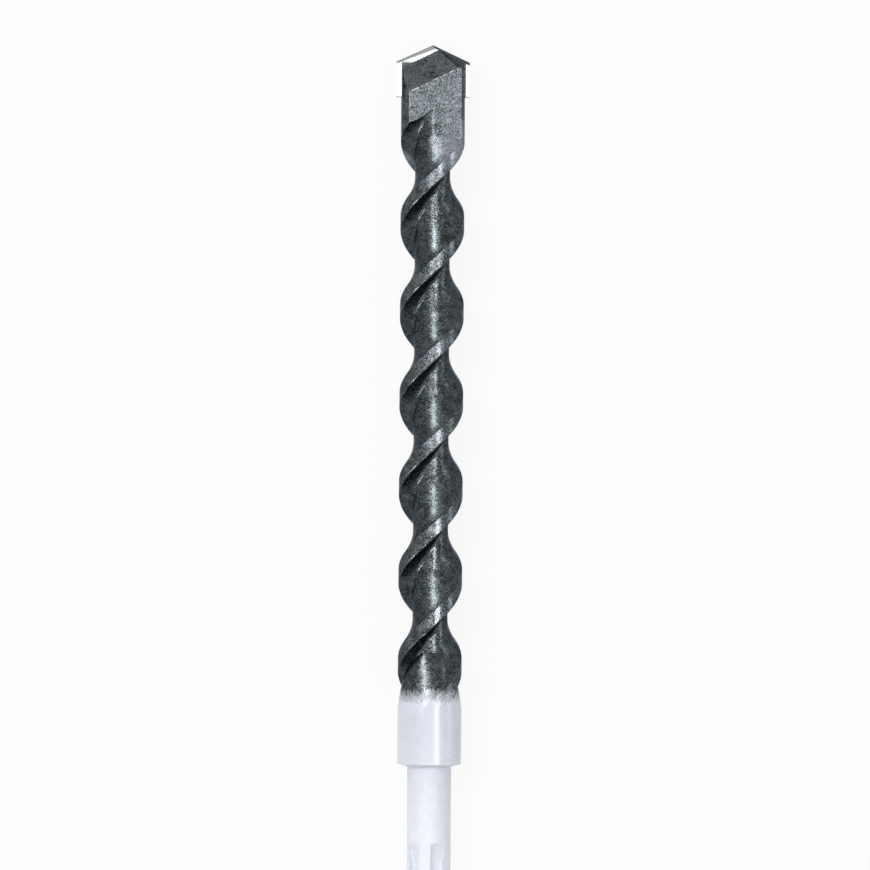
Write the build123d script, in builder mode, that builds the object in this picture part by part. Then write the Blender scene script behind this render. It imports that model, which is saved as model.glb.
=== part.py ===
"""Drill bit for a rotary hammer: a fluted steel body with a slotted shank and a carbide point.

The bit lies along Y. Its striking face is at Y = 0 and its point is at Y = overall_length.
Z is up, towards the side that shows the left cutting edge's rake face.
"""
import os
from math import asin, cos, degrees, radians, sin, sqrt, tan

from build123d import *

os.makedirs("parts", exist_ok=True)

# Whole bit
overall_length = 400.0
body_diameter = 26.2

# Distances called "below" run down the axis from the point.
collar_end_below = 294.9
shoulder_cone_length = 1.2
end_chamfer = 1.6

# Shank, with three drive grooves open at the end and two closed locking grooves
shank_diameter = 18.0
drive_groove_angles = (80, 227, 293)
drive_groove_width = 5.6
drive_groove_depth = 2.7
drive_groove_length = 62.0
drive_cutter_radius = 24.0
drive_groove_overrun = 1.0
locking_groove_angles = (170, 350)
locking_groove_width = 8.6
locking_groove_depth = 3.0
locking_groove_start = 20.0
locking_groove_length = 31.0
locking_groove_overrun = 1.0

# Flutes, in a section square to the axis, with angles counted from X towards the underside
flute_lead = 72.5
flute_datum_below = 49.1
leading_edge_angle = 136.5
heel_edge_angle = 285.5
core_diameter = 14.4
flank_foot_angle = 152.3
flank_fillet = 2.8
ramp_start_angle = 205
ramp_overrun_angle = 14
cutter_clearance = 4.5
flute_top_below = 22.5
flute_bottom_below = 287.0
runout_profile = ((6.2, 253.0), (9.8, 262.5), (12.2, 273.5), (13.5, 284.5))
runout_tail = 5.0

# Head, turned a little about the axis from the plane of X
head_turn = 7.25
head_thickness = 14.8
head_flat_below = 32.3
heel_keep_below = 40.1
steel_step = 0.2

# Carbide insert
insert_width = 30.8
insert_thickness = 4.4
insert_height = 21.4
insert_side_relief = 8.0
point_slope = tan(radians(25.9))
relief_slope = tan(radians(23.1))
thinning_slope_along = tan(radians(21.1))
thinning_slope_across = tan(radians(40.9))
bevel_depth_at_axis = 1.80
bevel_slope = tan(radians(65.2))

# Values that follow from the ones above
body_radius = body_diameter / 2
core_radius = core_diameter / 2
shank_radius = shank_diameter / 2
shank_length = overall_length - collar_end_below - shoulder_cone_length
flute_twist = 360 / flute_lead
cutter_reach = body_radius + cutter_clearance
drive_groove_rise = drive_groove_depth + drive_groove_overrun
drive_groove_runout = sqrt(drive_groove_rise * (2 * drive_cutter_radius - drive_groove_rise))


def station(below, turn=0.0):
    """Plane square to the axis at a distance below the point, turned about the axis."""
    across = (cos(radians(turn)), 0, -sin(radians(turn)))
    return Plane(origin=(0, overall_length - below, 0), x_dir=across, z_dir=(0, 1, 0))


def radial_plane(angle):
    """Plane through the axis: its X runs outwards at the angle and its Y up the axis."""
    out = (cos(radians(angle)), 0, -sin(radians(angle)))
    return Plane(origin=(0, 0, 0), x_dir=out, z_dir=(-out[2], 0, out[0]))


def ground_plane(drop, slope_along, slope_across):
    """Plane of a ground face of the head, falling by its slopes along and across the insert."""
    frame = station(0, head_turn)
    origin = frame.from_local_coords(Vector(0, 0, -drop))
    outward = frame.from_local_coords(Vector(slope_along, slope_across, 1 - drop)) - origin
    return Plane(origin=origin, z_dir=outward)


def polar(radius, angle):
    """Point of a section at a radius and an angle in degrees."""
    return (radius * cos(radians(angle)), radius * sin(radians(angle)))


def flute_cutter():
    """Twisted solid of the room that one flute takes out of the round body."""
    lead = Vector(*polar(body_radius, leading_edge_angle))
    heel = Vector(*polar(body_radius, heel_edge_angle))
    flank_foot = Vector(*polar(core_radius, flank_foot_angle))
    ramp_start = Vector(*polar(core_radius, ramp_start_angle))
    flank_end = lead + (lead - flank_foot).normalized() * cutter_clearance
    # The ramp is an arc that leaves the core smoothly and passes through the heel
    reach = heel.dot(ramp_start) / core_radius
    chord_squared = body_radius**2 + core_radius**2 - 2 * core_radius * reach
    ramp_radius = chord_squared / (2 * (core_radius - reach))
    ramp_centre = ramp_start * (1 - ramp_radius / core_radius)
    ramp_sweep = 2 * degrees(asin(sqrt(chord_squared) / (2 * ramp_radius))) + ramp_overrun_angle
    start_turn = flute_twist * (flute_datum_below - flute_bottom_below)
    length = flute_bottom_below - flute_top_below
    base = station(flute_bottom_below, start_turn)
    with BuildSketch(base) as profile:
        with BuildLine():
            Line(flank_end, flank_foot)
            CenterArc((0, 0), core_radius, flank_foot_angle, ramp_start_angle - flank_foot_angle)
            ramp = CenterArc(ramp_centre, ramp_radius, ramp_start_angle, ramp_sweep)
            outer_end = ((ramp @ 1).X, -cutter_reach)
            Line(ramp @ 1, outer_end)
            ThreePointArc(outer_end, (-cutter_reach, 0), flank_end)
        make_face()
        fillet(profile.vertices().sort_by_distance(flank_foot)[0], radius=flank_fillet)
    return Solid.extrude_linear_with_rotation(
        profile.sketch.face(), base.origin, base.z_dir * length, flute_twist * length
    )


def kept_head_side():
    """Half of the flat head that the flute in front of it leaves whole."""
    with BuildPart() as side:
        with BuildSketch(station(0, head_turn)):
            with Locations((cutter_reach, 0)):
                Rectangle(2 * cutter_reach, head_thickness)
        extrude(amount=-heel_keep_below)
    return side.part


def runout_nose():
    """Cone-shaped nose on which the flutes run out into the round collar."""
    points = [(radius, overall_length - below) for radius, below in runout_profile]
    widest, lowest = points[-1]
    tail = lowest - runout_tail
    with BuildPart() as nose:
        with BuildSketch(Plane.XY):
            with BuildLine():
                Polyline(*points, (widest, tail), (0, tail), (0, points[0][1]), close=True)
            make_face()
        revolve(axis=Axis.Y)
    return nose.part


def drill_body():
    """Steel body: slotted shank, collar, two helical flutes and the flat, ground head."""
    flute = flute_cutter() - kept_head_side() - runout_nose()
    with BuildPart() as body:
        with BuildSketch(Plane.XY):
            with BuildLine():
                Polyline(
                    (0, 0),
                    (shank_radius - end_chamfer, 0),
                    (shank_radius, end_chamfer),
                    (shank_radius, shank_length),
                    (body_radius, shank_length + shoulder_cone_length),
                    (body_radius, overall_length),
                    (0, overall_length),
                    close=True,
                )
            make_face()
        revolve(axis=Axis.Y)
        # Flats on both sides of the head
        with BuildSketch(station(0, head_turn)):
            Rectangle(4 * body_radius, 4 * body_radius)
            Rectangle(4 * body_radius, head_thickness, mode=Mode.SUBTRACT)
        extrude(amount=-head_flat_below, mode=Mode.SUBTRACT)
        # Ground roof, a little below the carbide, and the bevels in front of the cutting edges
        for side in (1, -1):
            split(
                bisect_by=ground_plane(steel_step, side * point_slope, -side * relief_slope),
                keep=Keep.BOTTOM,
            )
            split(
                bisect_by=ground_plane(-bevel_depth_at_axis, -side * point_slope, -side * bevel_slope),
                keep=Keep.BOTTOM,
            )
        # Slot for the insert
        with BuildSketch(station(0, head_turn)):
            Rectangle(4 * body_radius, insert_thickness)
        extrude(amount=-insert_height, mode=Mode.SUBTRACT)
        # Drive grooves, milled in from the striking face
        for angle in drive_groove_angles:
            with BuildSketch(radial_plane(angle)):
                with BuildLine():
                    floor = shank_radius - drive_groove_depth
                    outside = shank_radius + drive_groove_overrun
                    runout = (outside, drive_groove_length + drive_groove_runout)
                    start = -drive_groove_overrun
                    RadiusArc((floor, drive_groove_length), runout, drive_cutter_radius)
                    Polyline(runout, (outside, start), (floor, start), (floor, drive_groove_length))
                make_face()
            extrude(amount=drive_groove_width / 2, both=True, mode=Mode.SUBTRACT)
        # Locking grooves, closed at both ends
        for angle in locking_groove_angles:
            middle = locking_groove_start + locking_groove_length / 2
            outer = radial_plane(angle)
            floor = outer.from_local_coords(Vector(shank_radius - locking_groove_depth, middle, 0))
            with BuildSketch(Plane(origin=floor, x_dir=(0, 1, 0), z_dir=outer.x_dir)):
                SlotOverall(locking_groove_length, locking_groove_width)
            extrude(amount=locking_groove_depth + locking_groove_overrun, mode=Mode.SUBTRACT)
        # Two flutes, half a turn apart
        add(flute, mode=Mode.SUBTRACT, clean=False)
        add(flute.rotate(Axis.Y, 180), mode=Mode.SUBTRACT, clean=False)
    return body


def carbide_insert():
    """Carbide plate across the head, with a four-faceted roof that meets in one point."""
    half_width = insert_width / 2
    half_thickness = insert_thickness / 2
    trailing = half_width - insert_thickness * tan(radians(insert_side_relief))
    with BuildPart() as insert:
        with BuildSketch(station(0, head_turn)):
            Polygon(
                (half_width, half_thickness),
                (-trailing, half_thickness),
                (-half_width, -half_thickness),
                (trailing, -half_thickness),
                align=None,
            )
        extrude(amount=-insert_height)
        for side in (1, -1):
            split(
                bisect_by=ground_plane(0, side * point_slope, -side * relief_slope),
                keep=Keep.BOTTOM,
            )
            split(
                bisect_by=ground_plane(
                    0, -side * thinning_slope_along, -side * thinning_slope_across
                ),
                keep=Keep.BOTTOM,
            )
    return insert


body = drill_body()
body.part.label = "drill_body"
export_step(body.part, "parts/drill_body.step")

insert = carbide_insert()
insert.part.label = "carbide_insert"
export_step(insert.part, "parts/carbide_insert.step")
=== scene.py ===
"""Looks of a rotary hammer drill bit, laid out as an add-on and run as a script."""
from math import asin, atan2, cos, pi, radians, sin, sqrt, tan

import bmesh
import bpy
from bpy.props import FloatProperty, FloatVectorProperty, IntProperty, PointerProperty
from mathutils import Matrix, Vector


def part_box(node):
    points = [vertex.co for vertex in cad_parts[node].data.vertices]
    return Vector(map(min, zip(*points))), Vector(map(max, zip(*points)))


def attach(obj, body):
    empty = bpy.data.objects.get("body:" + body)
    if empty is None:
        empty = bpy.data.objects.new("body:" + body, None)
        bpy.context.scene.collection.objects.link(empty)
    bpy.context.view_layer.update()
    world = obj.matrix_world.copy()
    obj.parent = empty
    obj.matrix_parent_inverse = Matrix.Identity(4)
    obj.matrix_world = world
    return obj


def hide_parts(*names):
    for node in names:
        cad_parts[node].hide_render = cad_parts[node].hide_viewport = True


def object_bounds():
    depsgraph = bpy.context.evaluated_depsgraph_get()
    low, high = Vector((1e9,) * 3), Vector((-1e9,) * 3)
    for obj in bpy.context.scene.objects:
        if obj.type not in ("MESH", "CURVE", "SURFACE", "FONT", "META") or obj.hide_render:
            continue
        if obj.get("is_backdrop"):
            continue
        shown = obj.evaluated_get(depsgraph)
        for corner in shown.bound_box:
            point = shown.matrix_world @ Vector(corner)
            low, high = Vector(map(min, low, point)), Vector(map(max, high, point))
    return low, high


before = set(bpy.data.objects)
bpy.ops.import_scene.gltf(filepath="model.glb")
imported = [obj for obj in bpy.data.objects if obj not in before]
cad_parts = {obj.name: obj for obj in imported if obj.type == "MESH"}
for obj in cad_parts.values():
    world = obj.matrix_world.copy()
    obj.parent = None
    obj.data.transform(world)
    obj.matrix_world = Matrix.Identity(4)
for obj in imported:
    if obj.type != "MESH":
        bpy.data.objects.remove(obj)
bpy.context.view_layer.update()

bl_info = {
    "name": "Rotary hammer drill bit",
    "version": (1, 0, 0),
    "blender": (4, 5, 0),
    "location": "View3D > Sidebar > Drill bit",
    "description": "Cuts and finishes a fluted steel drill bit with a carbide point and sets its stage",
    "category": "Object",
}

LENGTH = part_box("carbide_insert")[1].y
MM = 0.001
PICTURE_PIXELS = 870

# Places of the shank's grooves, in degrees from X towards the underside
DRIVE_GROOVE_ANGLES = (80, 227, 293)
LOCKING_GROOVE_ANGLES = (170, 350)

# Nose on which the flutes run out: radius and distance below the point, in millimetres
RUNOUT_NOSE = ((6.2, 247.0), (11.9, 264.5), (13.5, 280.0))
NOSE_TAIL = 10
NOSE_PARTS = 128

# How far the cutters reach past the round steel
FLUTE_CLEARANCE = 4.5 * MM
GROOVE_OVERRUN = 1 * MM

# Angles between which the room of a flute is closed by a round outside the steel
ROOM_START = radians(284)
ROOM_END = radians(130)

# A bend past this angle is drawn sharp, and a body with fewer faces than this wasn't cut
SHARP_ANGLE = radians(12)
FEWEST_FACES = 1000

# Strip lamps: name, two ends as angles to the right and towards the point, width, share of the brightness
STRIP_LAMPS = (
    ("edge strip", (32, -18), (25, 3), 0.38, 1.35),
    ("main strip", (8, 5), (-28, 26), 0.38, 1.0),
    ("far strip", (-28, 26), (-72, 46), 0.38, 1.0),
    ("fillet strip", (-29, -20), (-31, -33), 0.20, 3.5),
    ("low lamp", (13, -44), (20, -44), 0.30, 1.0),
    ("side strip", (77, -21), (77, 26), 0.26, 0.25),
)
SOFT_LAMP = ("soft lamp", (-36, 12), (-14, 26), 0.9)


def length(name, millimetres, description):
    """A size in metres that a user may change."""
    return FloatProperty(name=name, description=description, default=millimetres * MM, unit="LENGTH",
                         precision=5, min=0)


def turn(name, degrees, description):
    """An angle that a user may change."""
    return FloatProperty(name=name, description=description, default=radians(degrees), subtype="ANGLE")


def colour(name, value, description):
    """A colour that a user may change."""
    return FloatVectorProperty(name=name, description=description, default=value, size=3,
                               subtype="COLOR", min=0, max=1)


def amount(name, value, description):
    """A plain number that a user may change."""
    return FloatProperty(name=name, description=description, default=value, min=0)


class DrillBodySettings(bpy.types.PropertyGroup):
    """Sizes and finish of the steel body."""
    body_diameter: length("Body diameter", 26.2, "Across the lands and the collar")
    collar_end: length("Collar end", 294.9, "From the point to the lower edge of the collar")
    shoulder_cone: length("Shoulder cone", 1.2, "Length of the cone under the collar")
    shank_diameter: length("Shank diameter", 18.0, "Across the round shank")
    end_chamfer: length("End chamfer", 1.6, "Round the striking face")
    flute_lead: length("Flute lead", 72.5, "Length of one full turn of a flute")
    flute_datum: length("Flute datum", 49.1, "From the point to the section in which the angles are given")
    flute_top: length("Flute top", 22.5, "From the point to the upper end of the flutes")
    flute_bottom: length("Flute bottom", 287.0, "From the point to the lower end of the flutes")
    leading_edge: turn("Leading edge", 136.5, "Angle of the land's leading edge in the section")
    heel_edge: turn("Heel edge", 285.5, "Angle of the land's heel in the section")
    core_diameter: length("Core diameter", 14.4, "Across the round core between the flutes")
    flank_foot: turn("Flank foot", 152.3, "Angle at which the flank meets the core in the section")
    ramp_start: turn("Ramp start", 205.0, "Angle at which the ramp leaves the core in the section")
    flank_fillet: length("Flank fillet", 2.8, "Radius between the flank and the ramp")
    edge_break: length("Edge break", 0.25, "Width of the broken edge along each land")
    head_turn: turn("Head turn", 7.25, "Turn of the flat head about the axis")
    head_thickness: length("Head thickness", 14.8, "Between the flats of the head")
    head_flat: length("Head flat", 32.3, "From the point to the lower end of the flats")
    heel_keep: length("Heel keep", 40.1, "From the point to where the flute may cut the heel side")
    insert_thickness: length("Slot width", 4.4, "Width of the slot for the insert")
    insert_height: length("Slot depth", 21.4, "From the point to the floor of the slot")
    roof_step: length("Roof step", 0.2, "Depth of the steel below the ground carbide")
    bevel_rise: length("Bevel rise", 1.8, "Height of the front bevel's plane above the point, on the axis")
    point_slope: turn("Point slope", 25.9, "Fall of the cutting edges towards the corners")
    relief_slope: turn("Relief slope", 23.1, "Fall of the roof behind each cutting edge")
    bevel_slope: turn("Bevel slope", 65.2, "Fall of the bevel in front of each cutting edge")
    drive_groove_width: length("Drive groove width", 5.6, "Of the three open grooves")
    drive_groove_depth: length("Drive groove depth", 2.7, "Below the round of the shank")
    drive_groove_length: length("Drive groove length", 62.0, "From the striking face to the run-out")
    drive_cutter: length("Drive groove cutter", 24.0, "Radius of the cutter at the run-out")
    locking_groove_width: length("Locking groove width", 8.6, "Of the two closed grooves")
    locking_groove_depth: length("Locking groove depth", 3.0, "Below the round of the shank")
    locking_groove_start: length("Locking groove start", 20.0, "From the striking face")
    locking_groove_length: length("Locking groove length", 31.0, "Between its round ends")
    stations: IntProperty(name="Stations", description="Sections along each flute", default=420, min=50)
    round_parts: IntProperty(name="Round parts", description="Sides of the turned blank", default=192, min=32)
    dark_colour: colour("Dark steel", (0.019, 0.025, 0.023), "Scale between the grains of the blasted steel")
    grain_colour: colour("Grain", (0.088, 0.098, 0.108), "Bright grains of the blasted steel")
    rubbed_colour: colour("Rubbed steel", (0.20, 0.215, 0.24), "Steel that the hole has rubbed bright")
    # Painted highlight in pieces along the edge between flat and bevel
    edge_highlight_colour: colour("Edge highlight", (0.26, 0.27, 0.29), "Painted highlight in pieces along the edge between flat and bevel")
    # Painted highlight on the heel sides of the head
    heel_highlight_colour: colour("Heel highlight", (0.30, 0.325, 0.37), "Painted highlight on the heel side of the head")
    # Painted shade in the pits deep in the flutes
    pit_shade_colour: colour("Shade in the pits", (0.012, 0.014, 0.014), "Painted shade in the pits deep in the flutes")
    pale_colour: colour("Collar", (0.735, 0.765, 0.845), "Ground steel of the collar")
    shank_colour: colour("Shank", (0.88, 0.90, 0.97), "Ground steel of the shank")
    grain_size: length("Grain size", 0.7, "Of the blasted skin")
    mottle_size: length("Mottle size", 3.5, "Of the lighter and darker patches of the skin")
    cloud_size: length("Cloud size", 22.0, "Of the patches over which the gloss changes")
    pit_size: length("Pit size", 1.3, "Of the pits deep in the flutes")
    stroke_width: length("Stroke width", 0.8, "Of the strokes on the flats and the heel side")
    stroke_lean: turn("Stroke lean", -38, "Turn of the strokes on the flats and the heel side")
    # Size of the pieces of the painted edge highlight
    highlight_piece: length("Highlight piece", 2.2, "Of the pieces of the painted edge highlight")
    pit_top: length("Pit top", 9.0, "Distance from the axis at which the pits begin")
    pit_bottom: length("Pit bottom", 6.5, "Distance from the axis at which they are densest")
    pale_from: length("Pale from", 133.0, "Height above the striking face where the ground steel ends")
    pale_fade: length("Pale fade", 2.8, "Half of the height over which the ground steel ends")
    fringe_width: length("Fringe width", 1.0, "Of the brush marks at the end of the ground steel")
    fringe_reach: length("Fringe reach", 10.0, "Reach of the brush marks at the end of the ground steel")
    collar_tone: length("Collar tone", 118.0, "Height down to which the ground steel has the collar's tone")
    shank_tone: length("Shank tone", 75.0, "Height from which down it has the shank's tone")
    strokes_from: length("Strokes from", 354.0, "Height above which the flats show their strokes")
    # Heights between which the heel sides carry the painted highlight
    heel_highlight_from: length("Highlight from", 352.0, "Height above which the heel sides carry the painted highlight")
    heel_highlight_to: length("Highlight to", 369.0, "Height up to which the heel sides carry the painted highlight")


class DrillInsertSettings(bpy.types.PropertyGroup):
    """Finish of the carbide insert."""
    ground_colour: colour("Ground carbide", (0.33, 0.34, 0.35), "Faces that the wheel has cut bright")
    mark_colour: colour("Wheel marks", (0.5, 0.5, 0.5), "Brighter marks on the ground faces")
    # Painted shade on the relief behind the cutting edges, in the colour that the braze shares
    relief_shade_and_braze_colour: colour("Relief", (0.020, 0.024, 0.026), "Painted shade behind the cutting edges, also the colour of the braze")
    speck_colour: colour("Specks", (0.05, 0.06, 0.06), "Lighter specks in the painted relief shade and the braze")
    speck_size: length("Speck size", 0.6, "Of the specks on the painted relief shade and the braze")
    mark_width: length("Mark width", 0.5, "Of the wheel's marks on the ground faces")
    corner_drop: length("Corner drop", 7.0, "From the point to where the braze begins under the corners")


class DrillStageSettings(bpy.types.PropertyGroup):
    """Camera, floor and lamps."""
    pixel: length("Pixel", 0.4105, "Width that one pixel of the picture shows at the axis")
    lean: turn("Lean", 0.338, "Turn of the bit in the picture")
    distance: length("Camera distance", 3000, "From the lens to the axis")
    camera_right: length("Camera right", 1.61, "Place of the camera to the right of the axis")
    camera_height: length("Camera height", 240.03, "Place of the camera along the bit")
    floor_reach: length("Floor reach", 6000, "From the bit to each side of the floor")
    floor_colour: colour("Floor", (0.93, 0.93, 0.93), "Plain pale floor")
    floor_white: amount("Floor white", 0.9, "How much of the floor is white where it is seen")
    sky: amount("Sky", 0.65, "Strength of the world's light on matt surfaces")
    lamp_distance: length("Lamp distance", 3500, "From the bit to the lamps")
    lamp_height: length("Lamp height", 250, "Place along the bit towards which the lamps point")
    strip_brightness: amount("Strip brightness", 29, "Radiance of the strip lamps, which light the gloss")
    soft_brightness: amount("Soft brightness", 9, "Radiance of the soft lamp, which lights matt surfaces")


# Shapes

def polar(radius, angle):
    """Point of a section at a radius and an angle."""
    return Vector((radius * cos(angle), radius * sin(angle)))


def arc_points(centre, radius, start, end, parts):
    """Points after the start of an arc, up to and with its end."""
    return [centre + polar(radius, start + (end - start) * k / parts) for k in range(1, parts + 1)]


def flute_section(body):
    """Outline of the room that one flute takes, round its own section of the bit."""
    radius = body.body_diameter / 2
    core = body.core_diameter / 2
    axis = Vector((0, 0))
    lead = polar(radius, body.leading_edge)
    heel = polar(radius, body.heel_edge)
    foot = polar(core, body.flank_foot)
    # Fillet between the straight flank and the round core
    flank = (lead - foot).normalized()
    into_room = Vector((-flank.y, flank.x))
    fillet = body.flank_fillet
    start = foot + into_room * fillet
    along = start.dot(flank)
    slide = -along + sqrt(along * along - start.length_squared + (core + fillet) ** 2)
    fillet_centre = start + flank * slide
    foot_side = foot + flank * slide - fillet_centre
    core_side = fillet_centre.normalized() * core - fillet_centre
    from_angle = atan2(foot_side.y, foot_side.x)
    swing = (atan2(core_side.y, core_side.x) - from_angle + pi) % (2 * pi) - pi
    core_from = atan2(fillet_centre.y, fillet_centre.x) % (2 * pi)
    # The ramp is an arc that leaves the core smoothly and passes through the heel
    ramp_start = polar(core, body.ramp_start)
    chord = (heel - ramp_start).length
    ramp = chord * chord / (2 * (core - heel.dot(ramp_start) / core))
    centre = ramp_start * (1 - ramp / core)
    heel_angle = body.ramp_start + 2 * asin(chord / (2 * ramp))
    # The points outside the round steel open the outline at the broken edges and close it
    room = radius + FLUTE_CLEARANCE
    beyond_lead = lead + flank * 0.8 * MM - into_room * 1.6 * MM
    beyond_heel = heel + Vector((1.2, -1.0)) * MM
    points = [beyond_lead, lead - flank * body.edge_break]
    points += [points[1].lerp(fillet_centre + foot_side, k / 6) for k in range(1, 7)]
    points += arc_points(fillet_centre, fillet, from_angle, from_angle + swing, 6)
    points += arc_points(axis, core, core_from, body.ramp_start, 16)
    points += arc_points(centre, ramp, body.ramp_start, heel_angle - body.edge_break / ramp, 26)
    points += [beyond_heel, Vector((beyond_heel.x, -room))]
    points += arc_points(axis, room, ROOM_START, ROOM_END, 8)
    return points[::-1]


def nose_profile():
    """Half outline of the nose: an arc through its three points, and a tail."""
    first, middle, last = [Vector((radius, LENGTH / MM - below)) for radius, below in RUNOUT_NOSE]
    a, b = middle - first, last - first
    det = 2 * (a.x * b.y - a.y * b.x)
    centre = first + Vector((b.y * a.length_squared - a.y * b.length_squared,
                             a.x * b.length_squared - b.x * a.length_squared)) / det
    radius = (first - centre).length
    start = atan2(first.y - centre.y, first.x - centre.x)
    end = atan2(last.y - centre.y, last.x - centre.x)
    arc = [first] + arc_points(centre, radius, start, end, 24)
    tail = arc[-1].y - NOSE_TAIL
    outline = [(0, first.y)] + [tuple(point) for point in arc] + [(arc[-1].x, tail), (0, tail)]
    return [(r * MM, y * MM) for r, y in outline][::-1]


def shank_end(body):
    """Height above the striking face where the shoulder's cone begins."""
    return LENGTH - body.collar_end - body.shoulder_cone


def blank_profile(body):
    """Half outline of the turned blank: shank, shoulder and the round bar of the flutes."""
    radius = body.body_diameter / 2
    shank = body.shank_diameter / 2
    shoulder = shank_end(body)
    return [(0, 0), (shank - body.end_chamfer, 0), (shank, body.end_chamfer), (shank, shoulder),
            (radius, shoulder + body.shoulder_cone), (radius, LENGTH), (0, LENGTH)]


def shown(piece):
    """Put a piece in the scene."""
    bpy.context.scene.collection.objects.link(piece)
    return piece


def mesh_piece(name, points, faces):
    """A closed mesh whose faces point outwards."""
    mesh = bpy.data.meshes.new(name)
    mesh.from_pydata(points, [], faces)
    shape = bmesh.new()
    shape.from_mesh(mesh)
    bmesh.ops.recalc_face_normals(shape, faces=shape.faces)
    shape.to_mesh(mesh)
    shape.free()
    return shown(bpy.data.objects.new(name, mesh))


def turned_piece(name, profile, parts):
    """A shape turned about Y from (radius, height) points that start and end on the axis."""
    points = [(0, profile[0][1], 0)]
    for radius, height in profile[1:-1]:
        for k in range(parts):
            angle = 2 * pi * k / parts
            points.append((radius * cos(angle), height, -radius * sin(angle)))
    points.append((0, profile[-1][1], 0))
    last = len(points) - 1
    rings = [[1 + ring * parts + k for k in range(parts)] for ring in range(len(profile) - 2)]
    faces = []
    for k in range(parts):
        after = (k + 1) % parts
        faces.append((0, rings[0][after], rings[0][k]))
        faces.append((rings[-1][k], rings[-1][after], last))
        for low, high in zip(rings, rings[1:]):
            faces.append((low[k], low[after], high[after], high[k]))
    return mesh_piece(name, points, faces)


def prism_piece(name, outline, place, depth):
    """A block: an outline that is pushed both ways along its plane's Z."""
    count = len(outline)
    points = [place @ Vector((x, y, z)) for z in (-depth, depth) for x, y in outline]
    faces = [tuple(range(count)), tuple(range(2 * count - 1, count - 1, -1))]
    faces += [(k, (k + 1) % count, (k + 1) % count + count, k + count) for k in range(count)]
    return mesh_piece(name, points, faces)


def outline_piece(name, outline):
    """A closed flat curve."""
    curve = bpy.data.curves.new(name, "CURVE")
    curve.dimensions = "2D"
    curve.fill_mode = "NONE"
    spline = curve.splines.new("POLY")
    spline.points.add(len(outline) - 1)
    spline.use_cyclic_u = True
    for point, place in zip(spline.points, outline):
        point.co = (place.x, place.y, 0, 1)
    return shown(bpy.data.objects.new(name, curve))


def rectangle(left, bottom, right, top):
    """Outline of a rectangle."""
    return [(left, bottom), (right, bottom), (right, top), (left, top)]


def axes(across, up, origin=(0, 0, 0)):
    """Matrix of a plane with its X and Y directions."""
    out = Vector(across).cross(Vector(up))
    matrix = Matrix((across, up, out)).transposed().to_4x4()
    matrix.translation = origin
    return matrix


def head_axes(body, angle=0.0):
    """Axes across the head: X along the insert, Y up the bit and Z towards the viewer's side."""
    turned = body.head_turn + angle
    return axes((cos(turned), 0, -sin(turned)), (0, 1, 0), (0, LENGTH, 0))


def ground_wedge(body, side, drop, slope_along, slope_across):
    """Place of a large block that lies above one ground face of the head."""
    outward = Vector((side * slope_along, 1, -side * slope_across)).normalized()
    across = outward.orthogonal().normalized()
    return head_axes(body) @ axes(across, outward, (0, -drop, 0))


def head_cuts(body):
    """Blocks that leave the flats, the ground faces and the slot of the head."""
    reach = 2 * body.body_diameter
    half = body.head_thickness / 2
    cuts = []
    for angle in (0.0, pi):
        place = head_axes(body, angle) @ Matrix.Translation((0, 0, half + reach / 2))
        cuts.append(prism_piece("cut", rectangle(-reach, -body.head_flat, reach, reach), place, reach / 2))
    for side in (1, -1):
        for drop, along, across in (
            (body.roof_step, tan(body.point_slope), -tan(body.relief_slope)),
            (-body.bevel_rise, -tan(body.point_slope), -tan(body.bevel_slope)),
        ):
            place = ground_wedge(body, side, drop, along, across)
            cuts.append(prism_piece("cut", rectangle(-reach, 0, reach, reach), place, reach))
    cuts.append(prism_piece("cut", rectangle(-reach, -body.insert_height, reach, reach), head_axes(body),
                            body.insert_thickness / 2))
    return cuts


def shank_cuts(body):
    """Blocks that leave the open and the closed grooves of the shank."""
    shank = body.shank_diameter / 2
    cuts = []
    # Drive grooves, which run out on the round of their cutter
    floor = shank - body.drive_groove_depth
    rise = body.drive_groove_depth + GROOVE_OVERRUN
    end = sqrt(rise * (2 * body.drive_cutter - rise))
    centre = Vector((floor + body.drive_cutter, body.drive_groove_length))
    swing = atan2(end, body.drive_cutter - rise)
    outline = [(shank + GROOVE_OVERRUN, -GROOVE_OVERRUN), (floor, -GROOVE_OVERRUN),
               (floor, body.drive_groove_length)]
    outline += [tuple(point) for point in arc_points(centre, body.drive_cutter, pi, pi - swing, 12)]
    for angle in DRIVE_GROOVE_ANGLES:
        out = (cos(radians(angle)), 0, -sin(radians(angle)))
        cuts.append(prism_piece("cut", outline, axes(out, (0, 1, 0)), body.drive_groove_width / 2))
    # Locking grooves with two round ends
    width = body.locking_groove_width / 2
    low = body.locking_groove_start + width
    high = body.locking_groove_start + body.locking_groove_length - width
    upper = [tuple(point) for point in arc_points(Vector((0, high)), width, 0, pi, 24)]
    lower = [tuple(point) for point in arc_points(Vector((0, low)), width, pi, 2 * pi, 24)]
    # The lower round's first point stands before the wall's end, so one wall leans in by 0.04 mm
    slot = [(width, high), *upper, lower[0], (-width, low), *lower[1:]]
    for angle in LOCKING_GROOVE_ANGLES:
        out = Vector((cos(radians(angle)), 0, -sin(radians(angle))))
        sideways = Vector((0, 1, 0)).cross(out)
        middle = shank - body.locking_groove_depth / 2 + GROOVE_OVERRUN / 2
        cuts.append(prism_piece("cut", slot, axes(sideways, (0, 1, 0), out * middle),
                                (body.locking_groove_depth + GROOVE_OVERRUN) / 2))
    return cuts


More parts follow.
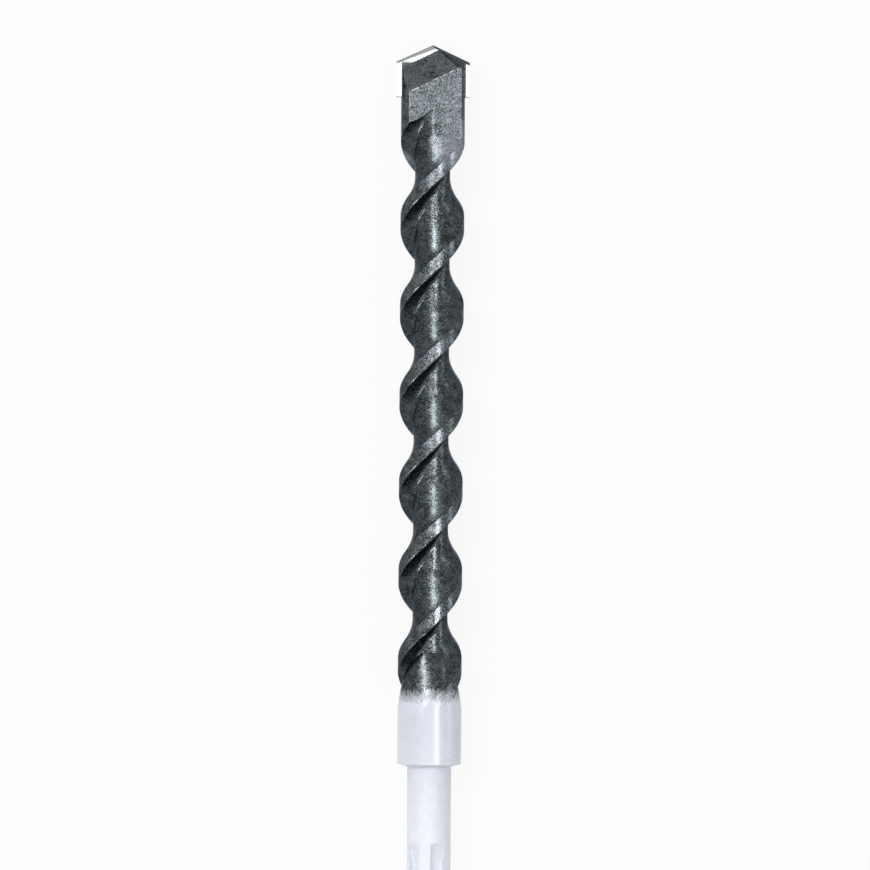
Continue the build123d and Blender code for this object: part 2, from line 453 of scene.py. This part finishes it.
def fluting_tree(cut_count):
    """Node tree that cuts two twisted flutes and the straight cuts out of a turned blank."""
    tree = bpy.data.node_groups.new("Fluting", "GeometryNodeTree")
    sockets = {}
    tree.interface.new_socket("Geometry", in_out="OUTPUT", socket_type="NodeSocketGeometry")
    inputs = [("Geometry", "Geometry"), ("Flute section", "Object"), ("Head side kept", "Object"),
              ("Run-out nose", "Object"), ("Flute start", "Float"), ("Flute end", "Float"),
              ("Turn per metre", "Float"), ("Turn at the striking face", "Float"), ("Stations", "Int"),
              ("Finish", "Material")]
    inputs += [(f"Cut {k + 1}", "Object") for k in range(cut_count)]
    for name, kind in inputs:
        sockets[name] = tree.interface.new_socket(name, in_out="INPUT", socket_type="NodeSocket" + kind)
    nodes, links = tree.nodes, tree.links
    given = nodes.new("NodeGroupInput").outputs
    result = nodes.new("NodeGroupOutput")

    def object_shape(name):
        info = nodes.new("GeometryNodeObjectInfo")
        links.new(given[name], info.inputs["Object"])
        return info.outputs["Geometry"]

    def place(name):
        combine = nodes.new("ShaderNodeCombineXYZ")
        links.new(given[name], combine.inputs["Y"])
        return combine.outputs[0]

    def without(first, *others):
        boolean = nodes.new("GeometryNodeMeshBoolean")
        boolean.operation = "DIFFERENCE"
        boolean.solver = "MANIFOLD"
        links.new(first, boolean.inputs["Mesh 1"])
        for other in others:
            links.new(other, boolean.inputs["Mesh 2"])
        return boolean.outputs["Mesh"]

    line = nodes.new("GeometryNodeCurvePrimitiveLine")
    links.new(place("Flute start"), line.inputs["Start"])
    links.new(place("Flute end"), line.inputs["End"])
    resample = nodes.new("GeometryNodeResampleCurve")
    links.new(line.outputs["Curve"], resample.inputs["Curve"])
    links.new(given["Stations"], resample.inputs["Count"])
    # The tilt turns the section with its height
    position = nodes.new("GeometryNodeInputPosition")
    separate = nodes.new("ShaderNodeSeparateXYZ")
    links.new(position.outputs[0], separate.inputs[0])
    twist = nodes.new("ShaderNodeMath")
    twist.operation = "MULTIPLY_ADD"
    links.new(separate.outputs["Y"], twist.inputs[0])
    links.new(given["Turn per metre"], twist.inputs[1])
    links.new(given["Turn at the striking face"], twist.inputs[2])
    tilt = nodes.new("GeometryNodeSetCurveTilt")
    links.new(resample.outputs["Curve"], tilt.inputs["Curve"])
    links.new(twist.outputs[0], tilt.inputs["Tilt"])
    sweep = nodes.new("GeometryNodeCurveToMesh")
    sweep.inputs["Fill Caps"].default_value = True
    links.new(tilt.outputs["Curve"], sweep.inputs["Curve"])
    links.new(object_shape("Flute section"), sweep.inputs["Profile Curve"])
    flute = without(sweep.outputs["Mesh"], object_shape("Head side kept"), object_shape("Run-out nose"))
    half_turn = nodes.new("GeometryNodeTransform")
    half_turn.inputs["Rotation"].default_value = (0, pi, 0)
    links.new(flute, half_turn.inputs["Geometry"])
    cuts = [object_shape(f"Cut {k + 1}") for k in range(cut_count)]
    body = without(given["Geometry"], flute, half_turn.outputs["Geometry"], *cuts)
    realize = nodes.new("GeometryNodeRealizeInstances")
    links.new(body, realize.inputs["Geometry"])
    finish = nodes.new("GeometryNodeSetMaterial")
    links.new(realize.outputs["Geometry"], finish.inputs["Geometry"])
    links.new(given["Finish"], finish.inputs["Material"])
    links.new(finish.outputs["Geometry"], result.inputs["Geometry"])
    return tree, sockets


# Shader helpers

def add_node(tree, kind, inputs=None, **settings):
    """A node whose inputs take numbers or the outputs of other nodes."""
    made = tree.nodes.new(kind)
    for name, value in settings.items():
        setattr(made, name, value)
    for name, value in (inputs or {}).items():
        if isinstance(value, bpy.types.NodeSocket):
            tree.links.new(value, made.inputs[name])
        else:
            made.inputs[name].default_value = value
    return made


def maths(tree, operation, *values):
    """Result of a sum on numbers or node outputs."""
    return add_node(tree, "ShaderNodeMath", dict(enumerate(values)), operation=operation).outputs[0]


def product(tree, *values):
    """Product of masks or numbers."""
    result = values[0]
    for value in values[1:]:
        result = maths(tree, "MULTIPLY", result, value)
    return result


def largest(tree, *values):
    """Largest of some masks."""
    result = values[0]
    for value in values[1:]:
        result = maths(tree, "MAXIMUM", result, value)
    return result


def noise(tree, place, size, detail=2.0, roughness=0.5, stretch=(1, 1, 1), lean=0.0):
    """Grey noise with features of about one size, in metres, which may be drawn out and lean."""
    drawn = add_node(tree, "ShaderNodeMapping",
                     {"Vector": place, "Rotation": (0, 0, lean), "Scale": stretch},
                     vector_type="TEXTURE").outputs[0]
    return add_node(tree, "ShaderNodeTexNoise",
                    {"Vector": drawn, "Scale": 1 / size, "Detail": detail,
                     "Roughness": roughness}).outputs["Fac"]


def ranged(tree, value, low, high, from_low=0.0, from_high=1.0):
    """A value brought from one range to another without passing its ends."""
    return add_node(tree, "ShaderNodeMapRange",
                    {"Value": value, 1: low, 2: high, 3: from_low, 4: from_high}).outputs[0]


def above(tree, value, limit, fade):
    """1 where a value lies above a limit and 0 where it lies below, with a fade to both sides."""
    return ranged(tree, value, limit - fade, limit + fade)


def below(tree, value, limit, fade):
    """1 where a value lies below a limit and 0 where it lies above, with a fade to both sides."""
    return ranged(tree, value, limit + fade, limit - fade)


def blend(tree, share, first, second):
    """Colour between two colours."""
    mix = tree.nodes.new("ShaderNodeMix")
    mix.data_type = "RGBA"
    for index, value in ((0, share), (6, first), (7, second)):
        if isinstance(value, bpy.types.NodeSocket):
            tree.links.new(value, mix.inputs[index])
        else:
            mix.inputs[index].default_value = value if index == 0 else (*value, 1)
    return mix.outputs[2]


def new_material(name, tint):
    """A metal material with its node tree and its shader."""
    material = bpy.data.materials.new(name)
    material.use_nodes = True
    tree = material.node_tree
    tree.nodes.clear()
    output = tree.nodes.new("ShaderNodeOutputMaterial")
    shader = add_node(tree, "ShaderNodeBsdfPrincipled", {"Metallic": 1.0, "Specular Tint": (*tint, 1)})
    tree.links.new(shader.outputs["BSDF"], output.inputs["Surface"])
    return material, tree, shader


def surface_place(tree):
    """Place of the surface, its height above the striking face and its distance from the axis."""
    place = add_node(tree, "ShaderNodeTexCoord").outputs["Object"]
    height = add_node(tree, "ShaderNodeSeparateXYZ", {0: place}).outputs["Y"]
    across = add_node(tree, "ShaderNodeVectorMath", {0: place, 1: (1, 0, 1)}, operation="MULTIPLY")
    radius = add_node(tree, "ShaderNodeVectorMath", {0: across.outputs[0]}, operation="LENGTH")
    return place, height, radius.outputs["Value"]


def along_axis(tree, place, direction):
    """How far the surface lies along a direction through the point of origin."""
    return add_node(tree, "ShaderNodeVectorMath", {0: place, 1: direction},
                    operation="DOT_PRODUCT").outputs["Value"]


def on_the_relief(tree, place, body, widening=0.0):
    """1 on the ground faces behind the two cutting edges, which may widen towards the corners."""
    head = head_axes(body).to_3x3()
    masks = []
    for side in (1, -1):
        normal = head @ Vector((side * tan(body.point_slope), 1, side * tan(body.relief_slope)))
        normal.normalize()
        height = maths(tree, "SUBTRACT", along_axis(tree, place, normal), normal.y * LENGTH)
        masks.append(ranged(tree, maths(tree, "ABSOLUTE", height), 0.34 * MM, 0.26 * MM))
        if widening:
            beside = along_axis(tree, place, head @ Vector((side, 0, 0)))
            front = along_axis(tree, place, head @ Vector((0, 0, side)))
            lowered = maths(tree, "MULTIPLY_ADD", beside, widening, height)
            masks.append(product(tree, ranged(tree, lowered, -0.1 * MM, 0.1 * MM),
                                 ranged(tree, front, 2 * MM, 2.3 * MM)))
    return largest(tree, *masks)


def distance_from_bevels(tree, place, body):
    """Distance of the surface from the nearer bevel in front of a cutting edge."""
    head = head_axes(body).to_3x3()
    distances = []
    for side in (1, -1):
        normal = head @ Vector((-side * tan(body.point_slope), 1, side * tan(body.bevel_slope)))
        steepness = normal.length
        normal.normalize()
        height = maths(tree, "SUBTRACT", along_axis(tree, place, normal),
                       normal.y * LENGTH + body.bevel_rise / steepness)
        distances.append(maths(tree, "ABSOLUTE", height))
    return maths(tree, "MINIMUM", *distances)


def head_masks(tree, place, height, body):
    """1 on the milled flats of the head, and 1 on its heel sides below and beside them, where a painted
    highlight lies.
    """
    head = head_axes(body).to_3x3()
    outward = along_axis(tree, place, head @ Vector((0, 0, 1)))
    sideways = along_axis(tree, place, head @ Vector((1, 0, 0)))
    level = maths(tree, "ABSOLUTE", outward)
    half = body.head_thickness / 2
    flat = product(tree, ranged(tree, level, half + 0.1 * MM, half + 0.05 * MM),
                   ranged(tree, level, half - 0.1 * MM, half - 0.05 * MM),
                   above(tree, height, body.strokes_from, 2 * MM))
    # The two heel sides lie in opposite quarters of the section, well out from its middle
    quarter = ranged(tree, product(tree, sideways, outward), 0.0, (4 * MM) ** 2)
    # Where the painted highlight lies on the heel sides
    heel = product(tree, quarter, above(tree, height, body.heel_highlight_from, 4 * MM),
                   ranged(tree, level, 3.5 * MM, 6 * MM), maths(tree, "SUBTRACT", 1.0, flat),
                   below(tree, height, body.heel_highlight_to, 1 * MM))
    return flat, heel


def pale_share(tree, place, height, body):
    """1 on the pale ground steel below the flutes, which ends in brush marks."""
    fringe = noise(tree, place, body.fringe_width, 4, 0.7, (1, 2.2, 1))
    limit = maths(tree, "ADD", height, product(tree, maths(tree, "SUBTRACT", fringe, 0.5), body.fringe_reach))
    return below(tree, limit, body.pale_from, body.pale_fade)


def head_skin(tree, place, skin, flat, heel, bevels, body):
    """Colour of the skin with what the mill and the wheel have left on the head, with painted shade on its
    roof and painted highlights on its edge and heel sides.
    """
    strokes = noise(tree, place, body.stroke_width, 3, 0.7, (1, 3.5, 1), body.stroke_lean)
    # Strokes of the cutter lighten the milled flats, and the bevels are a little brighter
    skin = blend(tree, product(tree, flat, ranged(tree, strokes, 0.36, 0.64, 0.02, 0.20)), skin,
                 body.rubbed_colour)
    skin = blend(tree, ranged(tree, bevels, 0.10 * MM, 0.05 * MM, 0.0, 0.18), skin, body.rubbed_colour)
    # Painted shade darkens the roof behind the cutting edges, widening towards the corners
    skin = blend(tree, product(tree, on_the_relief(tree, place, body, 0.16), 0.8), skin, body.dark_colour)
    # Painted highlight in pieces along the edge between flat and bevel
    pieces = ranged(tree, noise(tree, place, body.highlight_piece, 2, 0.6), 0.5, 0.56)
    edge = product(tree, ranged(tree, bevels, 0.16 * MM, 0.06 * MM), pieces, flat)
    skin = blend(tree, edge, skin, body.edge_highlight_colour)
    # Painted highlight, drawn in strokes, on the heel side under the flats where the flute has not cut it
    return blend(tree, product(tree, heel, ranged(tree, strokes, 0.38, 0.62, 0.4, 1.0)), skin,
                 body.heel_highlight_colour)


def fluted_skin(tree, radius, skin, pits, grains, body):
    """Colour of the skin with painted shade in the pits deep in the flutes, and with lands rubbed bright by
    the hole.
    """
    # Painted shade in the pits
    skin = blend(tree, pits, skin, body.pit_shade_colour)
    land = body.body_diameter / 2
    rub = product(tree, ranged(tree, radius, land - 0.4 * MM, land - 0.1 * MM),
                  ranged(tree, grains, 0.35, 0.65, 0.03, 0.28))
    return blend(tree, rub, skin, body.rubbed_colour)


def ground_steel(tree, height, grains, body):
    """Colour of the pale ground steel, whose tone changes from the collar to the shank."""
    tone = blend(tree, ranged(tree, height, body.collar_tone, body.shank_tone), body.pale_colour,
                 body.shank_colour)
    return blend(tree, ranged(tree, grains, 0.3, 0.7, 0.12, 0.0), tone, body.grain_colour)


def steel_material(body):
    """Dark blasted steel, pitted and painted with shade deep in the flutes, with painted shade and highlights
    on the head, that turns pale and ground below them.
    """
    material, tree, shader = new_material("steel", (0.5, 0.52, 0.56))
    place, height, radius = surface_place(tree)
    grain = noise(tree, place, body.grain_size, 3, 0.65)
    mottle = noise(tree, place, body.mottle_size, 3, 0.6)
    cloud = noise(tree, place, body.cloud_size, 2, 0.5)
    flat, heel = head_masks(tree, place, height, body)
    bevels = distance_from_bevels(tree, place, body)
    paleness = pale_share(tree, place, height, body)
    # Painted shade in patches, darkest towards the core of the flutes; the same patches are dents in the bump
    pits = product(tree, ranged(tree, radius, body.pit_top, body.pit_bottom),
                   ranged(tree, noise(tree, place, body.pit_size, 2, 0.6), 0.44, 0.36))
    # Blasted skin: bright grains over dark scale, in soft patches
    grains = maths(tree, "ADD", grain, product(tree, maths(tree, "SUBTRACT", mottle, 0.5), 0.55))
    skin = blend(tree, ranged(tree, grains, 0.38, 0.68), body.dark_colour, body.grain_colour)
    skin = head_skin(tree, place, skin, flat, heel, bevels, body)
    skin = fluted_skin(tree, radius, skin, pits, grains, body)
    finish = blend(tree, paleness, skin, ground_steel(tree, height, grains, body))
    tree.links.new(finish, shader.inputs["Base Color"])
    tree.links.new(ranged(tree, paleness, 0.0, 0.4, 1.0, 0.05), shader.inputs["Metallic"])
    # Roughness follows the clouds and the grain, and is higher on the pale steel and the shank
    shoulder = shank_end(body)
    rough = ranged(tree, cloud, 0.3, 0.7, 0.20, 0.26)
    rough = maths(tree, "ADD", rough, ranged(tree, grain, 0.3, 0.7, -0.06, 0.10))
    rough = maths(tree, "ADD", rough,
                  ranged(tree, height, shoulder + 0.6 * MM, shoulder - 0.9 * MM, 0.0, 0.22))
    rough = maths(tree, "ADD", rough, product(tree, paleness, 0.10))
    tree.links.new(rough, shader.inputs["Roughness"])
    # The turned and milled faces are smoother than the blasted ones
    machined = largest(tree, paleness, flat, heel, ranged(tree, bevels, 0.10 * MM, 0.05 * MM))
    depth = ranged(tree, machined, 0.0, 1.0, 1.0, 0.25)
    bumps = maths(tree, "ADD", grain, product(tree, mottle, 0.8))
    bumps = maths(tree, "SUBTRACT", bumps, product(tree, pits, 0.8))
    bump = add_node(tree, "ShaderNodeBump",
                    {"Strength": 0.5, "Distance": 0.085 * MM, "Height": product(tree, bumps, depth)})
    tree.links.new(bump.outputs[0], shader.inputs["Normal"])
    return material


def carbide_material(body, insert):
    """Hard metal with bright ground faces, painted shade on the relief behind each cutting edge, and a dark
    braze.
    """
    material, tree, shader = new_material("carbide", (0.62, 0.64, 0.66))
    place, height, radius = surface_place(tree)
    relief = on_the_relief(tree, place, body)
    # Braze along the floor of the slot, and beside the steel under the corners
    land = body.body_diameter / 2
    floor = LENGTH - body.insert_height
    braze = product(tree, below(tree, height, LENGTH - insert.corner_drop, 0.5 * MM),
                    ranged(tree, radius, land + 0.55 * MM, land + 0.25 * MM))
    braze = largest(tree, braze, ranged(tree, height, floor + 0.7 * MM, floor + 0.3 * MM, 0.0, 0.6))
    specks = noise(tree, place, insert.speck_size, 3, 0.6)
    marks = noise(tree, place, insert.mark_width, 2, 0.5, (6.5, 1, 1))
    ground = blend(tree, ranged(tree, specks, 0.3, 0.7, 0.0, 0.35), insert.ground_colour, insert.mark_colour)
    # Painted shade on the relief faces behind the cutting edges, in the same dark colour as the braze
    skin = blend(tree, ranged(tree, specks, 0.4, 0.7), insert.relief_shade_and_braze_colour, insert.speck_colour)
    finish = blend(tree, largest(tree, relief, braze), ground, skin)
    tree.links.new(finish, shader.inputs["Base Color"])
    rough = maths(tree, "ADD", ranged(tree, marks, 0.3, 0.7, 0.26, 0.36), product(tree, relief, 0.1))
    tree.links.new(rough, shader.inputs["Roughness"])
    bump = add_node(tree, "ShaderNodeBump", {"Strength": 0.3, "Distance": 0.03 * MM, "Height": marks})
    tree.links.new(bump.outputs[0], shader.inputs["Normal"])
    return material


class DRILL_OT_steel_body(bpy.types.Operator):
    """Cut the flutes, the head and the shank grooves out of a turned blank"""
    bl_idname = "drill.steel_body"
    bl_label = "Steel body"

    def execute(self, context):
        body = context.scene.drill_body
        section = outline_piece("flute_section", flute_section(body))
        blank = turned_piece("steel_body", blank_profile(body), body.round_parts)
        nose = turned_piece("nose", nose_profile(), NOSE_PARTS)
        reach = body.body_diameter
        kept = prism_piece("kept", rectangle(0, -body.heel_keep, reach, reach), head_axes(body),
                           body.head_thickness / 2)
        cuts = head_cuts(body) + shank_cuts(body)
        tree, sockets = fluting_tree(len(cuts))
        twist = 2 * pi / body.flute_lead
        modifier = blank.modifiers.new("Fluting", "NODES")
        modifier.node_group = tree
        values = {"Flute section": section, "Head side kept": kept, "Run-out nose": nose,
                  "Flute start": LENGTH - body.flute_bottom, "Flute end": LENGTH - body.flute_top,
                  "Turn per metre": twist, "Turn at the striking face": twist * (body.flute_datum - LENGTH),
                  "Stations": body.stations, "Finish": steel_material(body)}
        values.update({f"Cut {k + 1}": cut for k, cut in enumerate(cuts)})
        for name, value in values.items():
            modifier[sockets[name].identifier] = value
        seen = blank.evaluated_get(context.evaluated_depsgraph_get())
        mesh = bpy.data.meshes.new_from_object(seen)
        blank.modifiers.remove(modifier)
        blank.data = mesh
        for helper in [section, nose, kept, *cuts]:
            bpy.data.objects.remove(helper)
        if len(mesh.polygons) < FEWEST_FACES:
            raise RuntimeError("the flutes were not cut")
        mesh.shade_smooth()
        mesh.set_sharp_from_angle(angle=SHARP_ANGLE)
        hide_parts("drill_body")
        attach(blank, "root")
        return {"FINISHED"}


class DRILL_OT_carbide(bpy.types.Operator):
    """Give the carbide insert its ground finish"""
    bl_idname = "drill.carbide"
    bl_label = "Carbide insert"

    def execute(self, context):
        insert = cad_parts["carbide_insert"]
        insert.data.materials.clear()
        insert.data.materials.append(carbide_material(context.scene.drill_body, context.scene.drill_insert))
        return {"FINISHED"}


# Stage

def lamp_place(stage, right, up):
    """Place on the lamps' sphere, by its angles to the right of the camera and towards the point."""
    right, up = radians(right), radians(up)
    return stage.lamp_distance * Vector((sin(right) * cos(up), sin(up), cos(right) * cos(up)))


def strip_light(stage, name, start, end, width, brightness, matt=False):
    """A strip lamp between two directions, which lights either the gloss or the matt surfaces."""
    start, end = lamp_place(stage, *start), lamp_place(stage, *end)
    lamp = bpy.data.lights.new(name, "AREA")
    lamp.shape = "RECTANGLE"
    lamp.size = width
    lamp.size_y = (end - start).length
    lamp.energy = brightness * pi * lamp.size * lamp.size_y
    piece = bpy.data.objects.new(name, lamp)
    away = ((start + end) / 2).normalized()
    across = (end - start).cross(away).normalized()
    turned = Matrix((across, away.cross(across), away)).transposed().to_4x4()
    piece.matrix_world = Matrix.Translation(Vector((0, stage.lamp_height, 0)) + (start + end) / 2) @ turned
    piece.visible_camera = False
    piece.visible_diffuse = matt
    piece.visible_glossy = not matt
    return shown(piece)


def white_when_seen(tree):
    """1 for rays from the camera, a gloss or a clear body, and 0 for light on matt surfaces."""
    path = add_node(tree, "ShaderNodeLightPath").outputs
    return largest(tree, path["Is Camera Ray"], path["Is Glossy Ray"], path["Is Transmission Ray"])


def floor_material(stage):
    """Pale floor that keeps the bit's shadow and looks white from the camera."""
    material = bpy.data.materials.new("floor")
    material.use_nodes = True
    tree = material.node_tree
    tree.nodes.clear()
    pale = add_node(tree, "ShaderNodeBsdfDiffuse", {"Color": (*stage.floor_colour, 1)})
    glow = add_node(tree, "ShaderNodeEmission", {"Strength": 1.0})
    share = product(tree, white_when_seen(tree), stage.floor_white)
    mixed = add_node(tree, "ShaderNodeMixShader", {0: share, 1: pale.outputs[0], 2: glow.outputs[0]})
    add_node(tree, "ShaderNodeOutputMaterial", {"Surface": mixed.outputs[0]})
    return material


def studio_world(stage):
    """Plain soft light that looks white from the camera and in the metal."""
    world = bpy.data.worlds.new("studio")
    world.use_nodes = True
    tree = world.node_tree
    tree.nodes.clear()
    strength = ranged(tree, white_when_seen(tree), 0.0, 1.0, stage.sky, 1.0)
    light = add_node(tree, "ShaderNodeBackground", {"Color": (1, 1, 1, 1), "Strength": strength})
    add_node(tree, "ShaderNodeOutputWorld", {"Surface": light.outputs[0]})
    return world


class DRILL_OT_stage(bpy.types.Operator):
    """Make the floor, the lamps and the camera"""
    bl_idname = "drill.stage"
    bl_label = "Stage"

    def execute(self, context):
        stage = context.scene.drill_stage
        low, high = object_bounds()
        reach = stage.floor_reach
        mesh = bpy.data.meshes.new("floor")
        mesh.from_pydata([(x, y, low.z) for x, y in rectangle(-reach, -reach, reach, reach)], [],
                         [(0, 1, 2, 3)])
        mesh.materials.append(floor_material(stage))
        shown(bpy.data.objects.new("floor", mesh))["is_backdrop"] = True
        context.scene.world = studio_world(stage)
        for name, start, end, width, share in STRIP_LAMPS:
            strip_light(stage, name, start, end, width, share * stage.strip_brightness)
        strip_light(stage, *SOFT_LAMP, stage.soft_brightness, matt=True)
        camera = bpy.data.cameras.new("camera")
        camera.sensor_width = 36
        camera.lens = camera.sensor_width * stage.distance / (PICTURE_PIXELS * stage.pixel)
        camera.clip_end = 50
        view = shown(bpy.data.objects.new("camera", camera))
        view.location = (stage.camera_right, stage.camera_height, stage.distance)
        view.rotation_euler = (0, 0, stage.lean)
        context.scene.camera = view
        context.scene.view_settings.view_transform = "Standard"
        return {"FINISHED"}


class DRILL_PT_panel(bpy.types.Panel):
    """Buttons and sizes of the drill bit"""
    bl_idname = "DRILL_PT_panel"
    bl_label = "Drill bit"
    bl_space_type = "VIEW_3D"
    bl_region_type = "UI"
    bl_category = "Drill bit"

    def draw(self, context):
        scene = context.scene
        for operator, settings in (("drill.steel_body", scene.drill_body),
                                   ("drill.carbide", scene.drill_insert),
                                   ("drill.stage", scene.drill_stage)):
            box = self.layout.box()
            box.operator(operator)
            for name in type(settings).__annotations__:
                box.prop(settings, name)


CLASSES = (DrillBodySettings, DrillInsertSettings, DrillStageSettings, DRILL_OT_steel_body,
           DRILL_OT_carbide, DRILL_OT_stage, DRILL_PT_panel)


def register():
    """Add the classes and their settings."""
    for one in CLASSES:
        bpy.utils.register_class(one)
    bpy.types.Scene.drill_body = PointerProperty(type=DrillBodySettings)
    bpy.types.Scene.drill_insert = PointerProperty(type=DrillInsertSettings)
    bpy.types.Scene.drill_stage = PointerProperty(type=DrillStageSettings)


def unregister():
    """Take them away again."""
    for name in ("drill_body", "drill_insert", "drill_stage"):
        delattr(bpy.types.Scene, name)
    for one in reversed(CLASSES):
        bpy.utils.unregister_class(one)


def main():
    """Make the finished bit on its stage."""
    register()
    bpy.ops.drill.steel_body()
    bpy.ops.drill.carbide()
    bpy.ops.drill.stage()


if __name__ == "__main__":
    main()
